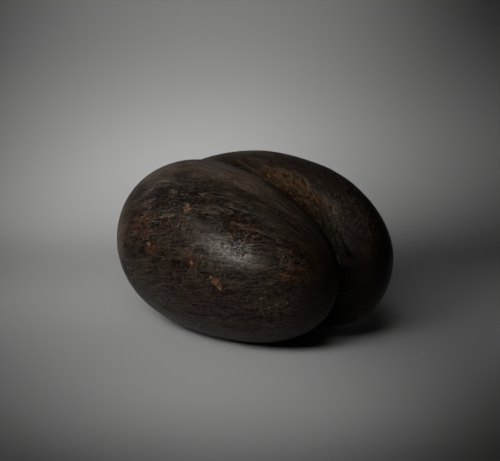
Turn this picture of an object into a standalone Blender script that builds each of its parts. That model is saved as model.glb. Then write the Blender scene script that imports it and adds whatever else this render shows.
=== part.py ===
"""A coco de mer nut: two long lobes grown together along a groove, with their tips apart.

Metres, +Z up. The nut lies on its belly with its length along Y, the end where the lobes are
joined at +Y and the free tips at -Y. The origin is on the surface that it rests on, under the
middle of its length and width.
"""

import math

import bmesh
import bpy

# Half the nut's length, from the middle to the tip of either lobe
HALF_LENGTH = 0.150

# How far each lobe reaches from its own axis at mid-length, and what share of that it gains
# from there to the joined end (and loses to the free tip)
REACH_OUT, GAIN_OUT = 0.0769, 0.09
REACH_IN, GAIN_IN = 0.0579, 0.20
REACH_UP, GAIN_UP = 0.0818, 0.10
REACH_DOWN, GAIN_DOWN = 0.0942, 0.02

# Each lobe's axis: its distance from the plane between the lobes at mid-length, the slant of
# the axis, and how far it bows in at both ends, then its rise and its droop at both ends
AXIS_OFFSET = 0.0418
AXIS_SLANT = -0.0062
AXIS_BOW = -0.0151
AXIS_RISE = 0.0008
AXIS_DROOP = -0.0107

# 2 would make each lobe's outline an ellipse, and more makes its ends blunter
BLUNTNESS = 2.24

# The groove's floor is rounded to this radius by the tips, and widens towards the joined end,
# where the two lobes run into one. The change is centred a little past the middle.
GROOVE_RADIUS = 0.0018
WIDENING_CENTRE = 0.1
WIDENING_RATE = 2.5

# On the belly the lobes have grown further together: what share of the groove's depth is
# filled there, the most depth that counts, and how far the filling reaches to either side
BELLY_FILL = 0.45
BELLY_DEPTH = 0.020
BELLY_WIDTH = 0.040

# The nut has settled on a small worn flat under each lobe, this much taken off its roundness
WORN_FLAT = 0.0006

# The bare fibrous bank along the groove lies a little below the polished skin. Its upper edge
# is an angle round the lobe, in degrees from straight outwards, which turns down at the tip.
BANK_DEPTH = {-1: 0.0008, 1: 0.0016}
BANK_EDGE = 110.0
BANK_EDGE_TURN = 8.0
BANK_EDGE_TIP = 45.0
BANK_SOFTNESS = 5.0

# Slow swells that keep the lobes from being perfectly regular: height, waves along the half
# length, waves round the lobe, and where the pattern starts
SWELLS = (
    (0.00022, 1.3, 2, 0.4),
    (0.00018, 2.1, 3, 1.9),
    (0.00014, 3.4, 1, 4.1),
)

ROWS_TO_CLEFT = 13
ROWS_TO_JOINED_END = 42
COLUMNS_HALF = 21
WELD = 1e-6

SHELL_COLOUR = (0.020, 0.014, 0.010, 1.0)
SHELL_ROUGHNESS = 0.42


def blend(low, high, value):
    """0 below low and 1 above high, with an even curve between them."""
    share = min(max((value - low) / (high - low), 0.0), 1.0)
    return share * share * (3.0 - 2.0 * share)


def axis_offset(along):
    return AXIS_OFFSET + AXIS_SLANT * along + AXIS_BOW * along**2


def groove_radius(along):
    def widened(place):
        return 1.0 + math.tanh(WIDENING_RATE * (place - WIDENING_CENTRE))

    joined = axis_offset(1.0)
    return GROOVE_RADIUS + (joined - GROOVE_RADIUS) * widened(along) / widened(1.0)


def girth(along):
    """The lobe's share of its full girth, from 0 at a tip to 1 in the middle."""
    return max(1.0 - abs(along) ** BLUNTNESS, 0.0) ** (1.0 / BLUNTNESS)


def reach_in(along):
    return REACH_IN * (1.0 + GAIN_IN * along) * girth(along)


def cleft_gap(along):
    """Above 0 where the lobes stand apart, and below 0 where they are grown together."""
    return axis_offset(along) - groove_radius(along) - reach_in(along)


def cleft_end():
    """The place along the nut where the lobes first meet, coming from the free tips."""
    apart, together = -0.99, -0.3
    for _ in range(50):
        middle = (apart + together) / 2.0
        if cleft_gap(middle) > 0.0:
            apart = middle
        else:
            together = middle
    return (apart + together) / 2.0


def crease_angle(along):
    """The angle round the lobe at which its surface reaches the plane between the lobes."""
    reach = reach_in(along)
    if cleft_gap(along) >= 0.0 or reach == 0.0:
        return math.pi
    return math.acos(-(axis_offset(along) - groove_radius(along)) / reach)


def bank_edge(along):
    """The angle of the bank's upper edge, in degrees."""
    turned = BANK_EDGE_TURN * blend(0.36, 0.50, -along)
    return BANK_EDGE + turned + BANK_EDGE_TIP * blend(0.68, 0.88, -along)


def relief(along, angle, crease, side):
    """How far the surface stands out of the smooth lobe, negative where it is sunk."""
    height = 0.0
    for swell, lengthwise, around, start in SWELLS:
        height += swell * math.sin(lengthwise * math.pi * along + around * angle + side * start)
    height *= girth(along)
    degrees = math.degrees(angle)
    edge = bank_edge(along)
    bank = blend(edge, edge + BANK_SOFTNESS, degrees) * blend(-0.10, 0.15, -along)
    bank *= blend(0.0, 12.0, math.degrees(crease) - degrees) * blend(0.05, 0.20, 1.0 + along)
    return height * blend(0.0, 0.5, crease - abs(angle)) - BANK_DEPTH[side] * bank


def lobe_point(along, angle, crease, side):
    """A point of the lobe's surface. The angle is 0 straight outwards and positive upwards."""
    cosine, sine = math.cos(angle), math.sin(angle)
    size = girth(along)
    if cosine > 0.0:
        across = REACH_OUT * (1.0 + GAIN_OUT * along) * size
    else:
        across = REACH_IN * (1.0 + GAIN_IN * along) * size
    if sine > 0.0:
        tall = REACH_UP * (1.0 + GAIN_UP * along) * size
    else:
        tall = REACH_DOWN * (1.0 + GAIN_DOWN * along) * size
    stands_out = relief(along, angle, crease, side)
    from_plane = axis_offset(along) + (across + stands_out) * cosine
    radius = groove_radius(along)
    x = math.sqrt(max(from_plane**2 - radius**2, 0.0)) if from_plane > 0.0 else 0.0
    z = (tall + stands_out) * sine + AXIS_RISE * along + AXIS_DROOP * along**2
    if sine < 0.0:
        depth = min(tall * (1.0 - math.sin(crease)), BELLY_DEPTH)
        grown = blend(-0.65, -0.10, along) * blend(0.0, 0.6, -sine)
        z -= BELLY_FILL * depth * grown * (1.0 - blend(0.0, BELLY_WIDTH, x))
    return side * x, HALF_LENGTH * along, z


def rows_along():
    """Places along the nut from the free tip to the joined end, closer together by the cleft."""
    meeting = 2.0 / math.pi * math.asin(cleft_end())
    rows = []
    for row in range(ROWS_TO_CLEFT + ROWS_TO_JOINED_END + 1):
        if row < ROWS_TO_CLEFT:
            share = 1.0 - (1.0 - row / ROWS_TO_CLEFT) ** 1.15
            turn = -1.0 + (meeting + 1.0) * share
        else:
            share = ((row - ROWS_TO_CLEFT) / ROWS_TO_JOINED_END) ** 1.15
            turn = meeting + (1.0 - meeting) * share
        rows.append(math.sin(turn * math.pi / 2.0))
    rows[ROWS_TO_CLEFT] = cleft_end()
    return rows


def share_round(column):
    """-1 at the belly's crease and 1 at the groove, with the columns closer together there."""
    share = column / COLUMNS_HALF
    return 0.45 * share + 0.55 * math.sin(share * math.pi / 2.0)


def add_lobe(mesh, side):
    """A grid bent round the lobe, its two side edges along the groove and the belly's crease."""
    rows = rows_along()
    grid = bmesh.ops.create_grid(
        mesh, x_segments=2 * COLUMNS_HALF, y_segments=len(rows) - 1, size=1.0
    )
    for vertex in grid["verts"]:
        row = round((vertex.co.y + 1.0) / 2.0 * (len(rows) - 1))
        column = round(vertex.co.x * COLUMNS_HALF)
        crease = crease_angle(rows[row])
        vertex.co = lobe_point(rows[row], crease * share_round(column), crease, side)


def stand_on_origin(mesh):
    """Moves the nut over the origin and wears its two flats."""
    lows = [min(vertex.co[axis] for vertex in mesh.verts) for axis in range(3)]
    highs = [max(vertex.co[axis] for vertex in mesh.verts) for axis in range(3)]
    for vertex in mesh.verts:
        vertex.co.x -= (lows[0] + highs[0]) / 2.0
        vertex.co.y -= (lows[1] + highs[1]) / 2.0
        vertex.co.z = max(vertex.co.z - lows[2] - WORN_FLAT, 0.0)


def shell_material():
    material = bpy.data.materials.new("shell")
    material.use_nodes = True
    shader = material.node_tree.nodes["Principled BSDF"]
    shader.inputs["Base Color"].default_value = SHELL_COLOUR
    shader.inputs["Roughness"].default_value = SHELL_ROUGHNESS
    shader.inputs["Metallic"].default_value = 0.0
    return material


def build_nut():
    mesh = bmesh.new()
    for side in (-1, 1):
        add_lobe(mesh, side)
    stand_on_origin(mesh)
    bmesh.ops.remove_doubles(mesh, verts=mesh.verts, dist=WELD)
    bmesh.ops.recalc_face_normals(mesh, faces=mesh.faces)
    data = bpy.data.meshes.new("nut")
    mesh.to_mesh(data)
    mesh.free()
    data.shade_smooth()
    data.materials.append(shell_material())
    return bpy.data.objects.new("nut", data)


def main():
    for thing in list(bpy.data.objects):
        bpy.data.objects.remove(thing, do_unlink=True)
    parts = bpy.data.collections.new("coco_de_mer_nut")
    bpy.context.scene.collection.children.link(parts)
    parts.objects.link(build_nut())


main()
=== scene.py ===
import itertools
import math

import bmesh
import bpy
import numpy as np
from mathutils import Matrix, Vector


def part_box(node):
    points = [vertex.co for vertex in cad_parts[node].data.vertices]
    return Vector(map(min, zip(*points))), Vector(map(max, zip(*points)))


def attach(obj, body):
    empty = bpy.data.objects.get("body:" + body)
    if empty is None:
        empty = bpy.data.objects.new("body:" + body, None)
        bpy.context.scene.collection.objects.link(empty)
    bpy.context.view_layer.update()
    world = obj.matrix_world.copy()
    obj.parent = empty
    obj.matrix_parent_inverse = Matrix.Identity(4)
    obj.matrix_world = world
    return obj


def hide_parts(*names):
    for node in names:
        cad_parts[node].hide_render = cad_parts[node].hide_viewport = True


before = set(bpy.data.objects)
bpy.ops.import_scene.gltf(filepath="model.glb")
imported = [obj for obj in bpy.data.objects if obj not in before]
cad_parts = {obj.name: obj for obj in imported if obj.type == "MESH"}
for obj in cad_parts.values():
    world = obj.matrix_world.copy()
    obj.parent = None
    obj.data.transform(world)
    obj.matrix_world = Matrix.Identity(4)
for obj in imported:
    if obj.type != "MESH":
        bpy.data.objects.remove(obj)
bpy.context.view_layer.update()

# A coco de mer nut on pale studio paper. The skin is built on the same formulas as the solid
# that it stands for, on a finer grid and with its wear.

# The nut's form, with the same measures as its solid: metres, angles in degrees

HALF_LENGTH = 0.150
REACH_OUT, GAIN_OUT = 0.0769, 0.09
REACH_IN, GAIN_IN = 0.0579, 0.20
REACH_UP, GAIN_UP = 0.0818, 0.10
REACH_DOWN, GAIN_DOWN = 0.0942, 0.02
AXIS_OFFSET = 0.0418
AXIS_SLANT = -0.0062
AXIS_BOW = -0.0151
AXIS_RISE = 0.0008
AXIS_DROOP = -0.0107
BLUNTNESS = 2.24
GROOVE_RADIUS = 0.0018
WIDENING_CENTRE = 0.1
WIDENING_RATE = 2.5
BELLY_FILL = 0.45
BELLY_DEPTH = 0.020
BELLY_WIDTH = 0.040
WORN_FLAT = 0.0006
BANK_DEPTH = {-1: 0.0008, 1: 0.0016}
BANK_EDGE = 110.0
BANK_EDGE_TURN = 8.0
BANK_EDGE_TIP = 45.0
BANK_SOFTNESS = 5.0
SWELLS = (
    (0.00022, 1.3, 2, 0.4),
    (0.00018, 2.1, 3, 1.9),
    (0.00014, 3.4, 1, 4.1),
)

# The thin lip beside the groove: its angle at mid-length, how much that falls from there to the
# joined end, and half its width in millimetres
LIP_ANGLE = 120.5
LIP_SLANT = 42.0
LIP_HALF_WIDTH = 1.1

# Heights in millimetres: a chip's depth, the bank's fibres and the lip
CHIP_DEPTH = 0.45
FIBRE_HEIGHT = 0.45
LIP_HEIGHT = 0.75

# The skin's own grid is much finer than the solid's. Its rows crowd together by the cleft's end
# and its columns by the groove.
ROWS_TO_CLEFT = 30
ROWS_TO_JOINED_END = 96
COLUMNS_HALF = 194
ROW_CROWDING = 1.15
COLUMN_CROWDING = 0.3
WELD = 1e-6
MM = 0.001

# The left lobe is -1 and the right lobe 1. A place on a lobe is its share of the half length,
# from -1 at the free tip to 1 at the joined end, and its angle round the lobe, 0 straight
# outwards and positive upwards.
LOBES = (-1, 1)
# A lobe's usual radius, which turns angles round it into millimetres
GIRTH_MM = 80.0
# The two lobes' patterns are taken this many millimetres to either side of the middle
PATTERN_APART = 90.0
# The grain leans on the upper skin: this far round the lobe for each millimetre along it
GRAIN_LEAN = 0.27

# Patches of the skin: lobe, along, angle, size along and size round in millimetres

# Coarse and bark-like
BARK = (
    (-1, 0.12, 42, 52, 17),
    (-1, -0.22, 48, 46, 20),
    (-1, -0.52, 44, 26, 17),
    (-1, 0.30, 22, 24, 12),
    (-1, 0.45, -150, 40, 22),
    (1, 0.25, 30, 55, 20),
    (1, -0.35, 12, 40, 24),
    (1, -0.10, -60, 48, 16),
)
# Cracked across the grain, with bits flaked off
HATCHED = (
    (-1, 0.25, 20, 27, 22),
    (-1, -0.02, 26, 22, 12),
    (-1, -0.58, 30, 26, 22),
    (-1, -0.86, 28, 22, 26),
    (-1, 0.55, -20, 24, 14),
    (1, 0.15, 10, 40, 22),
    (1, -0.62, 40, 24, 20),
    (1, -0.30, -25, 32, 18),
)
# Still polished
POLISHED = (
    (-1, -0.42, 18, 62, 36),
    (-1, 0.40, 60, 60, 24),
    (1, -0.40, 20, 56, 34),
    (1, 0.30, 10, 60, 36),
    (-1, 0.30, -150, 60, 30),
)
# Faded to a paler brown. The patches on the top of the left lobe and on its outer side by the
# joined end also paint light: a pale top, and a sheen along that side
FADED_AND_SHEEN = (
    (-1, -0.10, 84, 85, 24),
    (-1, 0.55, 72, 50, 34),
    (-1, 0.70, 5, 34, 62),
    (1, 0.45, 95, 60, 30),
    (1, -0.55, -75, 60, 30),
    (-1, 0.10, -95, 60, 26),
)
# Dark, with pale grains of husk. The darkening, all on the right lobe, is partly painted shade for
# the side that faces away from the lamps
GRAINY_AND_SHADED = (
    (1, -0.45, 60, 70, 55),
    (1, -0.85, 92, 48, 46),
    (1, -0.30, 0, 70, 50),
    (1, 0.30, 80, 60, 40),
)
# Stained reddish, with shreds of husk
STAINED = (
    (-1, -0.870, 7, 14, 8),
    (-1, -0.925, 21, 10, 7),
    (-1, 0.160, 5, 13, 6),
    (-1, 0.300, 19, 24, 16),
    (-1, -0.560, 38, 16, 10),
    (-1, -0.240, 3, 8, 8),
    (1, 0.200, 12, 30, 20),
    (1, -0.350, -18, 24, 14),
)
# Chips that bare the pale husk: lobe, along, angle, length and width in millimetres, turn
CHIPS = (
    (-1, -0.104, 38.0, 9.5, 12.5, 8.0),
    (-1, -0.432, -7.5, 11.0, 7.5, 10.0),
    (-1, -0.452, -11.0, 6.0, 9.0, 0.0),
    (-1, 0.180, 6.6, 10.0, 5.0, -20.0),
    (-1, -0.236, 1.0, 4.5, 4.0, 10.0),
    (1, 0.05, 22.0, 9.0, 6.0, 12.0),
    (1, -0.45, -14.0, 7.0, 8.0, 0.0),
    (1, 0.42, -38.0, 6.0, 5.0, 30.0),
    (-1, 0.62, -70.0, 7.0, 6.0, 0.0),
)
# Pale scratches and nicks: lobe, along, angle, length and width in millimetres, turn
SCRATCHES = (
    (-1, -0.703, -31.0, 9.0, 1.1, 76.0),
    (-1, -0.752, -27.0, 2.4, 2.2, 0.0),
    (-1, -0.796, -24.5, 3.4, 1.6, 50.0),
    (-1, -0.776, -36.0, 3.0, 1.8, 60.0),
    (-1, -0.852, -24.7, 2.0, 1.8, 0.0),
    (-1, -0.632, -19.6, 2.0, 1.8, 0.0),
    (1, -0.831, 100.0, 2.0, 2.0, 0.0),
    (1, -0.866, 87.7, 2.2, 2.0, 0.0),
    (1, -0.425, 117.0, 26.0, 1.0, -38.0),
    (1, 0.100, 24.0, 9.0, 1.4, 80.0),
)


def ease(low, high, value):
    """0 below low and 1 above high, with an even curve between them."""
    share = np.clip((value - low) / (high - low), 0.0, 1.0)
    return share * share * (3.0 - 2.0 * share)


def axis_offset(along):
    return AXIS_OFFSET + AXIS_SLANT * along + AXIS_BOW * along**2


def groove_radius(along):
    def widened(place):
        return 1.0 + np.tanh(WIDENING_RATE * (place - WIDENING_CENTRE))

    joined = axis_offset(1.0)
    return GROOVE_RADIUS + (joined - GROOVE_RADIUS) * widened(along) / widened(1.0)


def girth(along):
    return np.maximum(1.0 - np.abs(along) ** BLUNTNESS, 0.0) ** (1.0 / BLUNTNESS)


def reach_in(along):
    return REACH_IN * (1.0 + GAIN_IN * along) * girth(along)


def cleft_gap(along):
    return axis_offset(along) - groove_radius(along) - reach_in(along)


def cleft_end():
    apart, together = -0.99, -0.3
    for _ in range(50):
        middle = (apart + together) / 2.0
        if cleft_gap(middle) > 0.0:
            apart = middle
        else:
            together = middle
    return (apart + together) / 2.0


def crease_angle(along):
    """The angle round the lobe at which it meets the plane between the lobes, or pi."""
    reach = np.maximum(reach_in(along), 1e-12)
    cosine = np.clip(-(axis_offset(along) - groove_radius(along)) / reach, -1.0, 1.0)
    return np.where(cleft_gap(along) >= 0.0, math.pi, np.arccos(cosine))


def bank_edge(along):
    turned = BANK_EDGE_TURN * ease(0.36, 0.50, -along)
    return BANK_EDGE + turned + BANK_EDGE_TIP * ease(0.68, 0.88, -along)


def rows_along():
    meeting = 2.0 / math.pi * math.asin(cleft_end())
    to_cleft = 1.0 - (1.0 - np.arange(ROWS_TO_CLEFT) / ROWS_TO_CLEFT) ** ROW_CROWDING
    to_end = (np.arange(ROWS_TO_JOINED_END + 1) / ROWS_TO_JOINED_END) ** ROW_CROWDING
    turns = np.concatenate(
        [-1.0 + (meeting + 1.0) * to_cleft, meeting + (1.0 - meeting) * to_end]
    )
    rows = np.sin(turns * math.pi / 2.0)
    rows[ROWS_TO_CLEFT] = cleft_end()
    return rows


def columns_round():
    share = np.linspace(-1.0, 1.0, 2 * COLUMNS_HALF + 1)
    even = (1.0 - COLUMN_CROWDING) * share
    return even + COLUMN_CROWDING * np.sin(share * math.pi / 2.0)


def length_along(along):
    """Millimetres over the surface from mid-length to a place along the nut."""
    half = 1000
    places = np.sin(np.linspace(-1.0, 1.0, 2 * half + 1) * math.pi / 2.0)
    out = REACH_OUT * (1.0 + GAIN_OUT * places) * girth(places) + axis_offset(places)
    steps = np.hypot(np.diff(out), HALF_LENGTH * np.diff(places))
    reached = np.concatenate([[0.0], np.cumsum(steps)]) / MM
    return np.interp(along, places, reached - reached[half])


def grain_lean(degrees):
    """The grain's lean at an angle round the lobe, none on the belly or inside the groove."""
    return GRAIN_LEAN * ease(-60.0, 20.0, degrees) * ease(-120.0, -62.0, -degrees)


def grain_place(side, along, degrees):
    """A place of a lobe in the millimetres that its grain is measured in."""
    lengthwise = float(length_along(along))
    across = math.radians(degrees) * GIRTH_MM + float(grain_lean(degrees)) * lengthwise
    return Vector((across, lengthwise, side * PATTERN_APART))


def drift(points, seed):
    """Smooth noise from about -1 to 1, one wave to each unit, always the same for a seed."""
    count = 256
    chance = np.random.default_rng(seed)
    order = np.tile(chance.permutation(count), 3)
    slopes = chance.normal(size=(count, 3))
    slopes /= np.linalg.norm(slopes, axis=1, keepdims=True)
    flat = points.reshape(-1, 3)
    cell = np.floor(flat)
    inside = flat - cell
    cell = cell.astype(int) % count
    fade = inside**3 * (inside * (inside * 6.0 - 15.0) + 10.0)
    total = np.zeros(len(flat))
    for corner in itertools.product((0, 1), repeat=3):
        at = (cell + corner) % count
        index = order[order[order[at[:, 0]] + at[:, 1]] + at[:, 2]]
        pull = np.einsum("ij,ij->i", slopes[index], inside - corner)
        total += pull * np.where(corner, fade, 1.0 - fade).prod(axis=1)
    return (total * 1.6).reshape(points.shape[:-1])


class Lobe:
    """The grid of points over one lobe, with the wear that each point has."""

    def __init__(self, side):
        self.side = side
        rows = rows_along()
        crease = crease_angle(rows)
        self.along = np.repeat(rows[:, None], 2 * COLUMNS_HALF + 1, axis=1)
        self.crease = np.repeat(crease[:, None], 2 * COLUMNS_HALF + 1, axis=1)
        self.angle = self.crease * columns_round()[None, :]
        self.degrees = np.degrees(self.angle)
        self.lengthwise = length_along(self.along)
        self.inland = ease(0.0, 0.5, self.crease - np.abs(self.angle))
        self.grain = self.lay_grain()
        self.bank = self.lay_bank()
        self.sunk = self.bank * ease(0.0, 12.0, np.degrees(self.crease) - self.degrees)
        self.lip = self.lay_lip()
        self.bark = self.patches(BARK, 7, 22.0)
        self.hatched = self.patches(HATCHED, 11, 16.0)
        self.polished = self.patches(POLISHED, 15, 20.0)
        self.grainy_and_shaded = self.patches(GRAINY_AND_SHADED, 16, 16.0)
        self.faded_and_sheen = self.patches(FADED_AND_SHEEN, 17, 20.0)
        self.stained = self.patches(STAINED, 18, 9.0)
        self.stubble = self.bank * ease(0.52, 0.72, 0.08 * self.noise(5.0, 9.0, 19) - self.along)
        self.chip = self.lay_chips()
        self.full = ease(0.25, 0.75, girth(self.along))

    def lay_grain(self):
        """Millimetres across the grain, along it, and apart from the other lobe's pattern."""
        across = self.angle * GIRTH_MM + grain_lean(self.degrees) * self.lengthwise
        apart = self.side * PATTERN_APART * self.inland
        return np.stack([across, self.lengthwise, apart], axis=-1)

    def noise(self, across, along, seed, shift=0.0):
        """Noise in patches of that many millimetres across the grain and along it."""
        size = np.array([across, along, 40.0])
        return drift((self.grain + shift) / size, seed)

    def patches(self, places, seed, ragged):
        total = np.zeros_like(self.along)
        for side, along, degrees, long_mm, wide_mm in places:
            if side != self.side:
                continue
            away = (self.lengthwise - length_along(along)) / long_mm
            round_mm = (self.degrees - degrees) * math.radians(GIRTH_MM)
            total = np.maximum(total, np.exp(-(away**2) - (round_mm / wide_mm) ** 2))
        edge = 0.35 * self.noise(ragged * 0.5, ragged * 1.6, seed)
        return ease(0.15, 0.90, total + edge) * self.inland * ease(0.1, 0.4, girth(self.along))

    def lay_bank(self):
        """1 on the bare bank along the groove and 0 on the skin, as on the solid."""
        edge = bank_edge(self.along)
        ragged = 2.6 * self.noise(8.0, 22.0, 21) + 1.6 * self.noise(2.6, 6.0, 22)
        bank = ease(edge, edge + BANK_SOFTNESS, self.degrees + ragged)
        return bank * ease(-0.10, 0.15, -self.along) * ease(0.05, 0.20, 1.0 + self.along)

    def lay_lip(self):
        """The thin raised lip that the right lobe has along the groove, where it opens."""
        ridge = LIP_ANGLE - LIP_SLANT * self.along + 1.4 * self.noise(20.0, 20.0, 31)
        away = np.radians(self.degrees - ridge) * GIRTH_MM
        lip = np.exp(-((away / LIP_HALF_WIDTH) ** 2)) * ease(-0.34, -0.26, self.along)
        lip = lip * ease(-0.32, -0.22, -self.along)
        return lip if self.side == 1 else 0.4 * lip

    def lay_chips(self):
        total = np.zeros_like(self.along)
        ragged = 0.6 * self.noise(3.4, 5.0, 41) + 0.3 * self.noise(1.6, 2.4, 42)
        for side, along, degrees, long_mm, wide_mm, turn in CHIPS:
            if side != self.side:
                continue
            away = self.lengthwise - length_along(along)
            round_mm = (self.degrees - degrees) * math.radians(GIRTH_MM)
            cosine, sine = math.cos(math.radians(turn)), math.sin(math.radians(turn))
            long_share = (away * cosine + round_mm * sine) / (long_mm / 2.0)
            wide_share = (round_mm * cosine - away * sine) / (wide_mm / 2.0)
            out = np.hypot(long_share, wide_share)
            total = np.maximum(total, ease(-1.15, -0.75, ragged - out))
        return total

    def wrinkles(self):
        """Ridges of the coarse skin, 1 on a crest and about 0 in the furrow beside it."""
        bend = np.zeros_like(self.grain)
        bend[..., 0] = 4.5 * self.noise(14.0, 18.0, 51)
        broad = np.abs(self.noise(5.6, 22.0, 52, bend))
        fine = np.abs(self.noise(3.0, 11.0, 53, bend))
        return np.clip(1.25 * broad + 0.75 * fine, 0.0, 1.4)

    def relief(self):
        """Metres that the surface stands out of the smooth lobe, negative where sunk."""
        height = np.zeros_like(self.along)
        for swell, lengthwise, around, start in SWELLS:
            turns = lengthwise * math.pi * self.along + around * self.angle
            height += swell * np.sin(turns + self.side * start)
        self.furrow = self.wrinkles()
        rough = (0.20 + 1.20 * self.bark) * (self.furrow - 0.5)
        rough += 0.16 * self.noise(7.0, 50.0, 61) + 0.20 * self.noise(24.0, 40.0, 62)
        rough -= CHIP_DEPTH * self.chip
        height += MM * rough
        height *= girth(self.along) * self.inland
        fibres = np.abs(self.noise(2.4, 9.0, 71)) + 0.6 * self.noise(5.0, 7.0, 72)
        height += MM * FIBRE_HEIGHT * self.sunk * fibres * self.inland
        height += MM * LIP_HEIGHT * self.lip
        return height - BANK_DEPTH[self.side] * self.sunk

    def points(self):
        cosine, sine = np.cos(self.angle), np.sin(self.angle)
        size = girth(self.along)
        out = REACH_OUT * (1.0 + GAIN_OUT * self.along)
        inwards = REACH_IN * (1.0 + GAIN_IN * self.along)
        across = np.where(cosine > 0.0, out, inwards) * size
        up = REACH_UP * (1.0 + GAIN_UP * self.along)
        down = REACH_DOWN * (1.0 + GAIN_DOWN * self.along)
        tall = np.where(sine > 0.0, up, down) * size
        stands_out = self.relief()
        from_plane = axis_offset(self.along) + (across + stands_out) * cosine
        room = from_plane**2 - groove_radius(self.along) ** 2
        x = np.where(from_plane > 0.0, np.sqrt(np.maximum(room, 0.0)), 0.0)
        x[room < 1e-12] = 0.0
        z = (tall + stands_out) * sine + AXIS_RISE * self.along + AXIS_DROOP * self.along**2
        depth = np.minimum(tall * (1.0 - np.sin(self.crease)), BELLY_DEPTH)
        grown = ease(-0.65, -0.10, self.along) * ease(0.0, 0.6, -sine)
        z = z - BELLY_FILL * depth * grown * (1.0 - ease(0.0, BELLY_WIDTH, x))
        return np.stack([self.side * x, HALF_LENGTH * self.along, z], axis=-1)

    def quads(self, first):
        rows, columns = self.along.shape
        index = first + np.arange(rows * columns).reshape(rows, columns)
        corners = [index[:-1, :-1], index[:-1, 1:], index[1:, 1:], index[1:, :-1]]
        return np.stack(corners, axis=-1).reshape(-1, 4)


def settle(points):
    """Stands the points where the solid stands, and wears the two flats that it rests on."""
    low, high = points.min(axis=0), points.max(axis=0)
    solid_low, solid_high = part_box("nut")
    middle = [(solid_low[axis] + solid_high[axis]) / 2.0 for axis in range(2)]
    points[:, 0] += middle[0] - (low[0] + high[0]) / 2.0
    points[:, 1] += middle[1] - (low[1] + high[1]) / 2.0
    points[:, 2] = np.maximum(points[:, 2] + solid_high[2] - high[2], solid_low[2])
    return points


# What the mesh holds at each point for its finish
WEARS = (
    "bank",
    "stubble",
    "bark",
    "hatched",
    "polished",
    "grainy_and_shaded",
    "faded_and_sheen",
    "stained",
    "chip",
    "lip",
    "furrow",
    "full",
)


def build_shell():
    lobes = [Lobe(side) for side in LOBES]
    points = settle(np.concatenate([lobe.points().reshape(-1, 3) for lobe in lobes]))
    count = lobes[0].along.size
    quads = np.concatenate([lobes[0].quads(0), lobes[1].quads(count)])
    data = bpy.data.meshes.new("nut_shell")
    data.from_pydata(points.tolist(), [], quads.tolist())
    corners = np.empty(len(data.loops), dtype=np.int32)
    data.loops.foreach_get("vertex_index", corners)
    grain = np.concatenate([lobe.grain.reshape(-1, 3) for lobe in lobes])
    layer = data.attributes.new("grain", "FLOAT_VECTOR", "CORNER")
    layer.data.foreach_set("vector", grain[corners].astype(np.float32).ravel())
    for name in WEARS:
        values = np.concatenate([getattr(lobe, name).ravel() for lobe in lobes])
        layer = data.attributes.new(name, "FLOAT", "POINT")
        layer.data.foreach_set("value", values.astype(np.float32))
    mesh = bmesh.new()
    mesh.from_mesh(data)
    bmesh.ops.remove_doubles(mesh, verts=mesh.verts, dist=WELD)
    bmesh.ops.recalc_face_normals(mesh, faces=mesh.faces)
    mesh.to_mesh(data)
    mesh.free()
    data.shade_smooth()
    shell = bpy.data.objects.new("nut_shell", data)
    bpy.context.scene.collection.objects.link(shell)
    return shell


class Wire:
    """One value in a material. Arithmetic on it adds the nodes that work it out."""

    def __init__(self, finish, socket):
        self.finish = finish
        self.socket = socket

    def maths(self, operation, *values):
        return self.finish.add("Math", {"operation": operation}, dict(enumerate(values)))

    def __add__(self, other):
        return self.maths("ADD", self, other)

    def __radd__(self, other):
        return self.maths("ADD", other, self)

    def __sub__(self, other):
        return self.maths("SUBTRACT", self, other)

    def __rsub__(self, other):
        return self.maths("SUBTRACT", other, self)

    def __mul__(self, other):
        return self.maths("MULTIPLY", self, other)

    def __rmul__(self, other):
        return self.maths("MULTIPLY", other, self)

    def __abs__(self):
        return self.maths("ABSOLUTE", self)


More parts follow.
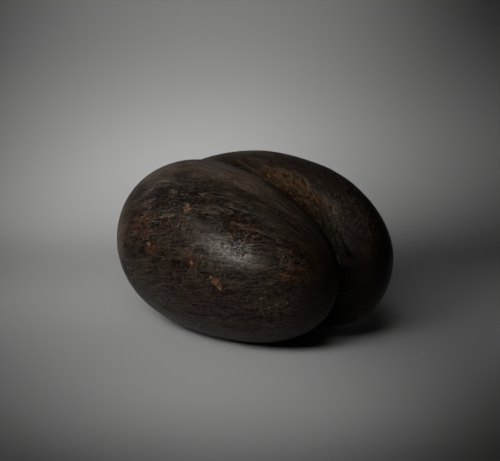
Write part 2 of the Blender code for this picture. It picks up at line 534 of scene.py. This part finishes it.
class Finish:
    """A material while it is being made."""

    def __init__(self, name):
        self.material = bpy.data.materials.new(name)
        self.material.use_nodes = True
        self.tree = self.material.node_tree
        self.tree.nodes.clear()

    def add(self, kind, settings=None, inputs=None, output=0):
        """One node: its settings first, then the values or links of its sockets."""
        node = self.tree.nodes.new("ShaderNode" + kind)
        for name, value in (settings or {}).items():
            setattr(node, name, value)
        for place, value in (inputs or {}).items():
            if isinstance(value, Wire):
                self.tree.links.new(value.socket, node.inputs[place])
            else:
                node.inputs[place].default_value = value
        return Wire(self, node.outputs[output]) if node.outputs else None

    def number(self, name):
        """A number that the mesh holds at each point."""
        return self.add("Attribute", {"attribute_name": name}, output="Fac")

    def vector(self, name):
        return self.add("Attribute", {"attribute_name": name}, output="Vector")

    def scaled(self, vector, factors):
        return self.add("VectorMath", {"operation": "MULTIPLY"}, {0: vector, 1: factors})

    def noise(self, vector, factors, detail=3.0, roughness=0.55, bend=0.0):
        """Noise from 0 to 1 about 0.5, with that many waves each way to the vector's unit."""
        inputs = {
            "Vector": self.scaled(vector, factors),
            "Scale": 1.0,
            "Detail": detail,
            "Roughness": roughness,
            "Distortion": bend,
        }
        return self.add("TexNoise", {"noise_dimensions": "3D"}, inputs, "Fac")

    def between(self, value, low, high):
        """0 before low and 1 past high, with an even curve between them. Either may be larger."""
        inputs = {"Value": value, "From Min": low, "From Max": high}
        return self.add("MapRange", {"interpolation_type": "SMOOTHSTEP"}, inputs)

    def larger(self, first, second):
        return self.add("Math", {"operation": "MAXIMUM"}, {0: first, 1: second})

    def ridged(self, noise, steepness):
        """1 where the noise is at its middle, falling to 0 on both sides of there."""
        return self.between(1.0 - abs(noise - 0.5) * steepness, 0.0, 1.0)

    def mixed(self, share, first, second):
        """The second colour over the first, by that share."""
        return self.add("Mix", {"data_type": "RGBA"}, {0: share, 6: first, 7: second}, 2)

    def plates(self, vector, factors, sway):
        """Cracked plates: the way to the nearest crack, and each plate's own tone and slope."""
        scaled = self.scaled(vector, factors)
        at = self.add("VectorMath", {"operation": "ADD"}, {0: scaled, 1: sway})
        gap = self.add("TexVoronoi", {"feature": "DISTANCE_TO_EDGE"}, {"Vector": at, "Scale": 1.0})
        chance = self.add("TexVoronoi", {}, {"Vector": at, "Scale": 1.0}, "Color")
        middle = self.add("TexVoronoi", {}, {"Vector": at, "Scale": 1.0}, "Position")
        out = self.add("VectorMath", {"operation": "SUBTRACT"}, {0: at, 1: middle})
        lean = self.add("VectorMath", {"operation": "SUBTRACT"}, {0: chance, 1: (0.5, 0.5, 0.5)})
        slope = self.add("VectorMath", {"operation": "DOT_PRODUCT"}, {0: out, 1: lean}, "Value")
        return gap, self.add("SeparateColor", {}, {0: chance}, 2), slope

    def scratched(self, grain, scratches):
        """1 on the listed scratches and 0 beside them."""
        total = 0.0
        for side, along, degrees, long_mm, wide_mm, turn in scratches:
            middle = grain_place(side, along, degrees)
            from_middle = self.add("VectorMath", {"operation": "SUBTRACT"}, {0: grain, 1: middle})
            away = self.turned(from_middle, turn)
            shares = self.scaled(away, (2.0 / wide_mm, 2.0 / long_mm, 0.02))
            out = self.add("VectorMath", {"operation": "LENGTH"}, {0: shares}, "Value")
            total = self.between(out, 1.25, 0.75) + total
        return total

    def turned(self, vector, degrees):
        """A place of the grain, turned about the way out of the skin."""
        inputs = {"Vector": vector, "Angle": math.radians(degrees)}
        return self.add("VectorRotate", {"rotation_type": "Z_AXIS"}, inputs)

    def bumped(self, height):
        """Fine relief from a height in millimetres."""
        inputs = {"Strength": 1.0, "Distance": MM, "Height": height}
        return self.add("Bump", {}, inputs)

    def surfaced(self, inputs):
        shader = self.add("BsdfPrincipled", {}, inputs)
        self.add("OutputMaterial", {}, {"Surface": shader})
        return self.material


def colour(red, green, blue):
    return (red, green, blue, 1.0)


# The skin's colours: sound and dark, then worn, faded, stained, specked and scratched. Some also
# paint light: the darkest paints shade in furrows, pits and cracks, the crest colour a sheen with
# dust, the faded colour light on the left lobe's top and outer side
SKIN_DARK = colour(0.0025, 0.0013, 0.0010)
SKIN_BROWN = colour(0.0196, 0.0117, 0.0080)
SKIN_PURPLE = colour(0.0115, 0.0062, 0.0058)
SKIN_OLIVE = colour(0.0175, 0.0138, 0.0070)
SKIN_WORN = colour(0.0390, 0.0270, 0.0198)
SKIN_DEEPEST_AND_SHADE = colour(0.0015, 0.0008, 0.0007)
SKIN_CREST_DUST_AND_SHEEN = colour(0.0360, 0.0250, 0.0200)
SKIN_FADED_AND_SHEEN = colour(0.0740, 0.0560, 0.0440)
SKIN_LINE = colour(0.1060, 0.0830, 0.0650)
SKIN_STAIN = colour(0.0370, 0.0140, 0.0062)
SPECK_PALE = colour(0.16, 0.135, 0.11)
SCRATCH_PALE = colour(0.1150, 0.1000, 0.0850)
# The husk under the skin, the bank's fibres with painted shade in the gaps between them, and the
# lip beside the groove
HUSK_DARK = colour(0.0600, 0.0270, 0.0125)
HUSK_PALE = colour(0.1550, 0.1020, 0.0660)
HUSK_ORANGE = colour(0.1050, 0.0470, 0.0200)
FUR_DARK_AND_SHADE = colour(0.0100, 0.0050, 0.0024)
FUR_BROWN = colour(0.0510, 0.0272, 0.0134)
FUR_RUST = colour(0.1050, 0.0400, 0.0140)
FUR_OLIVE = colour(0.0500, 0.0360, 0.0190)
FUR_PALE = colour(0.1050, 0.0680, 0.0400)
STUBBLE_DARK = colour(0.0160, 0.0105, 0.0075)
STUBBLE_PALE = colour(0.1700, 0.1560, 0.1380)
LIP_BROWN = colour(0.0460, 0.0240, 0.0120)
# The bank's fibres lean this many degrees from the nut's length
BANK_LEAN = -33.8
# How much the bare skin shines under its polish, and how rough that polish is
SKIN_SHINE = 0.05
POLISH_ROUGHNESS = 0.29


def shell_finish():
    """Old dark nutshell: fine grain, bark-like and cracked skin, stains, chips, bare bank."""
    finish = Finish("shell_skin")
    grain = finish.vector("grain")
    bark = finish.number("bark")
    hatched = finish.number("hatched")
    chip = finish.number("chip")
    bank = finish.number("bank")
    lip = finish.number("lip")
    furrow = finish.number("furrow")
    grainy_and_shaded = finish.number("grainy_and_shaded")
    faded_and_sheen = finish.number("faded_and_sheen")
    full = finish.number("full")
    stained = finish.number("stained")
    polished = finish.number("polished")
    stubble = finish.number("stubble")
    rugged = finish.larger(bark, hatched)

    # Threads of the grain, from broad to fine, and slow changes of tone
    broad = finish.noise(grain, (0.090, 0.020, 0.02), 2.0, 0.55, 0.4)
    thread = finish.noise(grain, (0.150, 0.030, 0.02), 2.0, 0.55, 0.6)
    fine = finish.noise(grain, (0.290, 0.062, 0.02), 3.0, 0.62, 0.6)
    tone = finish.noise(grain, (0.040, 0.022, 0.02), 3.0, 0.60)
    hue = finish.noise(grain, (0.060, 0.036, 0.07), 2.0, 0.55)
    grit = finish.noise(grain, (1.10, 0.30, 0.02), 3.0, 0.60)
    rib = finish.ridged(thread, 9.0) * full
    fine_rib = finish.ridged(fine, 8.0) * full

    # Old skin is broken up: long plates with the grain, and short ticks across it
    sway = finish.noise(grain, (0.09, 0.07, 0.02), 2.0, 0.5) - 0.5
    plate_gap, plate, plate_slope = finish.plates(grain, (0.26, 0.070, 0.02), sway * 2.6)
    tick_gap, tick, tick_slope = finish.plates(grain, (0.19, 0.36, 0.02), sway * 3.4)
    ticked = hatched * 0.80 + bark * 0.20 + polished * 0.50 + 0.15
    plate_crack = finish.between(plate_gap, 0.11, 0.02) * full * (rugged * 0.8 + 0.2)
    tick_crack = finish.between(tick_gap, 0.13, 0.03) * ticked

    # Pale hairlines along the grain and across it, and small dull pits
    patch = finish.noise(grain, (0.075, 0.055, 0.02), 3.0, 0.6, 0.4)
    dense = finish.between(patch, 0.36, 0.60)
    long_line = finish.ridged(finish.noise(grain, (0.140, 0.026, 0.02), 2.0, 0.5, 0.9), 30.0)
    cross_line = finish.ridged(finish.noise(grain, (0.060, 0.140, 0.02), 2.0, 0.5, 0.9), 30.0)
    long_hair = long_line * (bark * 0.45 + hatched * 0.80 + polished * 0.25 + 0.20) * full
    cross_hair = cross_line * (hatched * 0.75 + bark * 0.15 + polished * 0.55 + 0.06)
    hairline = finish.larger(long_hair, cross_hair) * (dense * 0.85 + 0.15)
    striae = finish.ridged(finish.noise(grain, (0.24, 0.034, 0.02), 2.0, 0.5, 0.9), 11.0)
    pits = finish.noise(grain, (0.42, 0.27, 0.02), 3.0, 0.65)
    pit = finish.between(pits, 0.50, 0.36)
    fleck = finish.between(pits, 0.54, 0.66)

    # The skin
    detail = (rib - 0.5) * 0.32 + (fine_rib - 0.5) * 0.28 + (plate - 0.5) * 0.30
    detail = detail + (tick - 0.5) * 0.45 * ticked + (broad - 0.5) * 0.4
    detail = detail * (rugged * 1.08 + 0.42) * full + (grit - 0.5) * 0.80
    detail = detail + (striae - 0.35) * 0.30 * full
    # The right lobe's grainy skin is darkened, partly as painted shade
    shade = detail + 0.46 - bark * 0.58 - hatched * 0.58 - grainy_and_shaded * 0.40
    skin = finish.mixed(finish.between(shade, 0.22, 0.72), SKIN_DARK, SKIN_BROWN)
    purple = finish.between(hue + rugged * 0.10, 0.50, 0.66) * 0.8
    skin = finish.mixed(purple, skin, SKIN_PURPLE)
    skin = finish.mixed(finish.between(hue, 0.50, 0.38) * 0.6, skin, SKIN_OLIVE)
    # Darker bark-like and cracked patches; over the right lobe this is painted shade as well
    skin = finish.mixed(bark * 0.82 + hatched * 0.80 + grainy_and_shaded * 0.30, skin, SKIN_DEEPEST_AND_SHADE)
    skin = finish.mixed(finish.between(shade + tone * 0.6, 0.80, 1.12) * 0.7, skin, SKIN_WORN)
    streaks = finish.between(rib * 0.5 + fine_rib * 0.3 + plate * 0.2, 0.20, 0.70)
    # Faded, paler skin; on the left lobe's top and outer side this is painted light as well
    skin = finish.mixed(faded_and_sheen * (streaks * 0.5 + 0.50) * (1.0 - bark), skin, SKIN_FADED_AND_SHEEN)
    ridges = finish.between(furrow * 0.55 + rib * 0.30 + fine_rib * 0.20, 0.45, 0.90)
    # Painted shade: the furrows between the bark's ridges are darkened
    skin = finish.mixed(bark * (1.0 - ridges) * 0.85, skin, SKIN_DEEPEST_AND_SHADE)
    # Pale dust and painted sheen on the bark's crests
    skin = finish.mixed(bark * ridges * 0.30, skin, SKIN_CREST_DUST_AND_SHEEN)
    cracks = finish.larger(plate_crack, tick_crack)
    sound = 1.0 - polished * 0.7
    # Painted shade: the sunk pits are darkened, less where the skin is polished
    skin = finish.mixed(pit * sound * (rugged * 0.30 + grainy_and_shaded * 0.40 + 0.60), skin, SKIN_DEEPEST_AND_SHADE)
    # Painted shade: the sunk cracks are darkened, less where the skin is polished
    skin = finish.mixed(cracks * sound * 0.75, skin, SKIN_DEEPEST_AND_SHADE)
    skin = finish.mixed(fleck * (rugged * 0.22 + 0.34), skin, SKIN_WORN)
    skin = finish.mixed(fleck * grainy_and_shaded, skin, HUSK_PALE)
    skin = finish.mixed(hairline * 0.85, skin, SKIN_LINE)

    # Bits flaked off the cracked skin, and the listed chips, show the husk below
    flake = finish.noise(grain, (0.30, 0.22, 0.03), 3.0, 0.7)
    flaked = finish.between(tick * 0.6 + flake * 0.8, 0.93, 1.04) * hatched
    bare = finish.between(chip + (flake - 0.5) * 1.6, 0.36, 0.76)
    shown = finish.larger(bare, flaked * 0.5)
    husk = finish.mixed(finish.between(fine * 0.5 + grit * 0.5, 0.47, 0.58), HUSK_DARK, HUSK_PALE)
    stain = finish.between(tick * 0.55 + patch * 0.45, 0.56, 0.68) * (hatched * 0.8 + bark * 0.3)
    stain = stain * 0.6 + stained * finish.between(tick * 0.6 + flake * 0.8, 0.55, 0.75) * 0.8
    skin = finish.mixed(stain * (1.0 - tick_crack), skin, SKIN_STAIN)
    shreds = finish.between(pits * 0.6 + fine * 0.4, 0.52, 0.62)
    skin = finish.mixed(stained * shreds * (1.0 - tick_crack) * 0.7, skin, HUSK_ORANGE)
    skin = finish.mixed(shown, skin, husk)

    # Pale specks
    speck = finish.between(finish.noise(grain, (0.50, 0.45, 0.5), 1.0, 0.5), 0.735, 0.79)
    skin = finish.mixed(speck * 0.6, skin, SPECK_PALE)

    # The bank: fibres that run obliquely down into the groove
    lay = finish.turned(grain, BANK_LEAN)
    fibre = finish.noise(lay, (0.42, 0.090, 0.02), 3.0, 0.65, 0.5)
    clump = finish.noise(lay, (0.16, 0.09, 0.02), 3.0, 0.65)
    hair = finish.ridged(fibre, 8.0)
    # Painted shade: the fur is darkened in the low gaps between its fibres
    fur = finish.mixed(finish.between(hair + clump * 0.7, 0.55, 0.98), FUR_DARK_AND_SHADE, FUR_BROWN)
    fur = finish.mixed(finish.between(hue + clump, 0.95, 1.15) * 0.7, fur, FUR_OLIVE)
    fur = finish.mixed(finish.between(tick * 0.6 + grit * 0.4, 0.60, 0.72) * 0.5, fur, FUR_RUST)
    fur = finish.mixed(finish.between(hair * 0.6 + clump, 0.98, 1.12), fur, FUR_PALE)
    short = finish.noise(lay, (0.40, 0.22, 0.02), 2.0, 0.6, 0.8)
    tips = finish.ridged(short, 11.0)
    fur = finish.mixed(stubble * 0.7, fur, STUBBLE_DARK)
    fur = finish.mixed(stubble * finish.between(tips, 0.55, 0.95) * 0.8, fur, STUBBLE_PALE)
    skin = finish.mixed(bank, skin, fur)
    skin = finish.mixed(lip * finish.between(fine, 0.40, 0.60) * 0.7, skin, LIP_BROWN)

    # Scratches, on the skin and on the bank
    scratch = finish.scratched(grain, SCRATCHES) * finish.between(grit, 0.30, 0.55)
    skin = finish.mixed(scratch * 0.5, skin, SCRATCH_PALE)

    # Height in millimetres
    height = rib * 0.30 + fine_rib * 0.20 + broad * 0.25 + grit * 0.06 + pits * 0.5
    height = height + (plate_slope * 0.90 + plate * 0.15) * full
    height = height + (tick_slope + tick * 0.20) * ticked
    height = height + bark * ridges * 0.60 - cracks * 0.30 + hairline * 0.15
    height = height + cross_line * polished * 0.20
    height = height - shown * 0.30 + shown * fine * 0.4
    furry = hair * 0.85 + clump * 0.6
    height = height * (1.0 - bank) + furry * bank

    # Roughness: more on the bark-like skin and in the cracks, most on the husk and the bank
    rough = 0.36 + bark * 0.22 + cracks * 0.15 + (fine - 0.5) * 0.10 + plate * 0.08
    rough = rough * (1.0 - shown) + shown * 0.75
    rough = rough * (1.0 - bank) + bank * 0.82

    # Old polish: thick on the crests and gone from the cracks, the husk and the bank
    polish = finish.between(shade + furrow * 0.25, 0.20, 0.80) * 0.44 + 0.24
    polish = polish + (hairline + fleck) * 0.20 - pit * 0.14
    polish = polish * (polished * 0.70 + 0.24) * (1.0 - cracks * 0.8) * (1.0 - bark * 0.9)
    polish = polish * (1.0 - hatched * (1.0 - polished) * 0.8) * (1.0 - grainy_and_shaded * 0.6)
    polish = polish * (1.0 - shown * 0.9) * (1.0 - bank)

    return finish.surfaced(
        {
            "Base Color": skin,
            "Roughness": rough,
            "Normal": finish.bumped(height),
            "Specular IOR Level": SKIN_SHINE,
            "Coat Weight": polish,
            "Coat Roughness": POLISH_ROUGHNESS,
        }
    )


# The camera looks from the free tips' side: its place and what it looks at in metres, its lens
# and the width of its sensor in millimetres, and its turn from the nut's length in degrees
CAMERA_PLACE = Vector((-1.4053, -1.4586, 0.5664))
CAMERA_AIM = Vector((0.0014, 0.0023, 0.1014))
CAMERA_LENS = 144.96
CAMERA_SENSOR = 36.0
CAMERA_TURN = 43.92

# The paper lies flat from in front of the nut to behind it, then bends up into a wall. These
# are metres: its front edge, the end of the flat, the radius of the bend, its top, half its width.
PAPER_FRONT = -3.0
PAPER_FLAT = 0.35
PAPER_BEND = 0.70
PAPER_TOP = 4.0
PAPER_HALF_WIDTH = 4.0
BEND_STEPS = 32
PAPER_DULL = colour(0.545, 0.545, 0.54)
PAPER_PALE = colour(0.555, 0.555, 0.55)


def studio_place(right, back, high):
    """A place to the right of the nut, behind it and above the floor, as the camera sees it."""
    facing = math.radians(CAMERA_TURN)
    away = Vector((math.sin(facing), math.cos(facing), 0.0))
    sideways = Vector((math.cos(facing), -math.sin(facing), 0.0))
    return sideways * right + away * back + Vector((0.0, 0.0, high))


def paper_finish():
    """Matt background paper."""
    finish = Finish("studio_paper")
    place = finish.add("NewGeometry", {}, {}, "Position")
    tooth = finish.noise(place, (900.0, 900.0, 900.0), 2.0, 0.6)
    cloud = finish.noise(place, (2.2, 2.2, 2.2), 2.0, 0.5)
    tint = finish.mixed(finish.between(cloud, 0.3, 0.7), PAPER_DULL, PAPER_PALE)
    bump = finish.bumped(tooth * 0.02)
    return finish.surfaced({"Base Color": tint, "Roughness": 0.9, "Normal": bump})


def build_paper():
    """One sheet that is floor in front and turns up into the wall far behind the nut."""
    profile = [(PAPER_FRONT, 0.0), (PAPER_FLAT, 0.0)]
    for step in range(1, BEND_STEPS + 1):
        turn = step / BEND_STEPS * math.pi / 2.0
        back = PAPER_FLAT + PAPER_BEND * math.sin(turn)
        profile.append((back, PAPER_BEND - PAPER_BEND * math.cos(turn)))
    profile.append((PAPER_FLAT + PAPER_BEND, PAPER_TOP))
    points = []
    for back, high in profile:
        for side in (-PAPER_HALF_WIDTH, PAPER_HALF_WIDTH):
            points.append(studio_place(side, back, high))
    faces = []
    for row in range(len(profile) - 1):
        first = 2 * row
        faces.append((first, first + 1, first + 3, first + 2))
    data = bpy.data.meshes.new("studio_paper")
    data.from_pydata(points, [], faces)
    data.shade_smooth()
    data.materials.append(paper_finish())
    paper = bpy.data.objects.new("studio_paper", data)
    bpy.context.scene.collection.objects.link(paper)
    return paper


# What the nut's lamps aim at, in metres, and the light's colours
NUT_MIDDLE = Vector((0.0, 0.0, 0.09))
PLAIN_LIGHT = (1.0, 1.0, 1.0)
WARM_LIGHT = (1.0, 0.93, 0.85)
AIR_GLOW = 0.004

# The lamps that fall on the nut: turn and rise in degrees, distance in metres, power, and size
# in metres. They all have the same spread in degrees.
NUT_SPREAD = 60.0
NUT_LAMPS = (
    ("window_light", -88.0, 17.0, 1.5, 90.0, 0.42),
    ("high_light", -100.0, 66.0, 2.0, 50.0, 0.60),
    ("back_high", -140.0, 40.0, 2.0, 8.0, 0.50),
    ("back_low", -172.0, 27.0, 1.8, 53.0, 0.45),
    ("right_fill", 60.0, 25.0, 1.8, 0.9, 0.35),
)

# Places that several groups of lamps share: right, back and up in metres
LOW_LEFT = (-0.963, -1.598, 1.256)
FRONT = (0.0, -1.6, 1.6)
HIGH_LEFT = (-0.6, -0.6, 1.6)
# The groups of lamps that fall on the paper: place and target to the right, back and up in
# metres, power, spread in degrees, size of a lamp in metres, and the radius of the disc over
# which the lamps are spread, or 0 for one lamp
PAPER_LAMPS = (
    ("low_back", LOW_LEFT, (-0.10, 0.35, 0.0), 104.0, 14.0, 0.15, 0.45),
    ("low_middle", LOW_LEFT, (-0.04, -0.17, 0.0), 42.0, 8.0, 0.15, 0.45),
    ("low_left", LOW_LEFT, (-0.12, -0.05, 0.0), 136.0, 8.0, 0.15, 0.45),
    ("low_front", LOW_LEFT, (0.0, -0.24, 0.0), 102.0, 7.0, 0.15, 0.45),
    ("front_near", FRONT, (0.02, -0.30, 0.0), 72.0, 8.0, 0.15, 0.40),
    ("front_right", FRONT, (0.25, -0.10, 0.0), 17.0, 8.0, 0.15, 0.40),
    ("front_far", FRONT, (0.35, 0.10, 0.0), 46.0, 9.0, 0.15, 0.40),
    ("front_back", (-0.3, -1.6, 1.6), (-0.20, 0.35, 0.0), 72.0, 8.0, 0.15, 0.40),
    ("front_wash", (-0.191, -1.79, 2.235), (-0.03, 0.0, 0.13), 19.0, 12.0, 0.20, 0.40),
    ("side_left", (-1.5, 0.1, 1.2), (-0.22, 0.12, 0.0), 35.0, 9.0, 0.15, 0.30),
    ("side_wash", (-1.2, 0.1, 0.8), (-0.12, 0.60, 0.10), 93.0, 20.0, 0.20, 0.0),
    ("wall_wash", HIGH_LEFT, (-0.05, 1.05, 0.12), 28.0, 24.0, 0.10, 0.0),
    ("wall_high", HIGH_LEFT, (0.0, 1.05, 0.30), 23.0, 20.0, 0.10, 0.0),
)
# How many lamps a group has, and the turn in degrees from each to the next on its disc
LAMPS_IN_GROUP = 9
GROUP_TURN = 137.5


def aim(thing, place, target):
    thing.location = place
    thing.rotation_euler = (target - place).to_track_quat("-Z", "Y").to_euler()


def add_camera():
    data = bpy.data.cameras.new("photo_camera")
    data.lens = CAMERA_LENS
    data.sensor_width = CAMERA_SENSOR
    data.sensor_fit = "HORIZONTAL"
    camera = bpy.data.objects.new("photo_camera", data)
    aim(camera, CAMERA_PLACE, CAMERA_AIM)
    bpy.context.scene.collection.objects.link(camera)
    bpy.context.scene.camera = camera


def place_round(turn, rise, far):
    """A place that far from the nut's middle, turned from straight past its tips and raised."""
    turn, rise = math.radians(turn), math.radians(rise)
    flat = math.cos(rise)
    way = Vector((math.sin(turn) * flat, -math.cos(turn) * flat, math.sin(rise)))
    return NUT_MIDDLE + way * far


def add_lamp(name, place, target, power, spread, size, lit, tint=PLAIN_LIGHT):
    """A round soft lamp whose pool fades out towards its edge, falling on one collection."""
    data = bpy.data.lights.new(name, "SPOT")
    data.energy = power
    data.spot_size = math.radians(spread)
    data.spot_blend = 1.0
    data.shadow_soft_size = size
    data.color = tint
    lamp = bpy.data.objects.new(name, data)
    lamp.light_linking.receiver_collection = lit
    aim(lamp, place, target)
    bpy.context.scene.collection.objects.link(lamp)


def add_group(name, place, target, power, spread, size, reach, lit):
    """Lamps spread over a disc that all point at one place, so that their shadow is soft."""
    ahead = (target - place).normalized()
    sideways = ahead.cross(Vector((0.0, 0.0, 1.0))).normalized()
    upwards = sideways.cross(ahead)
    count = LAMPS_IN_GROUP if reach > 0.0 else 1
    for step in range(count):
        out = reach * math.sqrt((step + 0.5) / count)
        turn = step * math.radians(GROUP_TURN)
        shift = sideways * (out * math.cos(turn)) + upwards * (out * math.sin(turn))
        add_lamp(f"{name}_{step}", place + shift, target, power / count, spread, size, lit)


def light_studio(on_nut, on_paper):
    for name, place, target, power, spread, size, reach in PAPER_LAMPS:
        place, target = studio_place(*place), studio_place(*target)
        add_group(name, place, target, power, spread, size, reach, on_paper)
    for name, turn, rise, far, power, size in NUT_LAMPS:
        place = place_round(turn, rise, far)
        add_lamp(name, place, NUT_MIDDLE, power, NUT_SPREAD, size, on_nut, WARM_LIGHT)
    world = bpy.data.worlds.new("studio_air")
    world.use_nodes = True
    air = world.node_tree.nodes["Background"]
    air.inputs["Color"].default_value = colour(1.0, 1.0, 1.0)
    air.inputs["Strength"].default_value = AIR_GLOW
    bpy.context.scene.world = world
    bpy.context.scene.view_settings.view_transform = "Standard"


def collected(name, thing):
    """A collection of its own for that object, so that lamps can be set to fall on it."""
    holder = bpy.data.collections.new(name)
    bpy.context.scene.collection.children.link(holder)
    bpy.context.scene.collection.objects.unlink(thing)
    holder.objects.link(thing)
    return holder


shell = build_shell()
shell.data.materials.append(shell_finish())
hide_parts("nut")
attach(shell, "root")

paper = build_paper()
add_camera()
light_studio(collected("nut_in_view", shell), collected("background", paper))
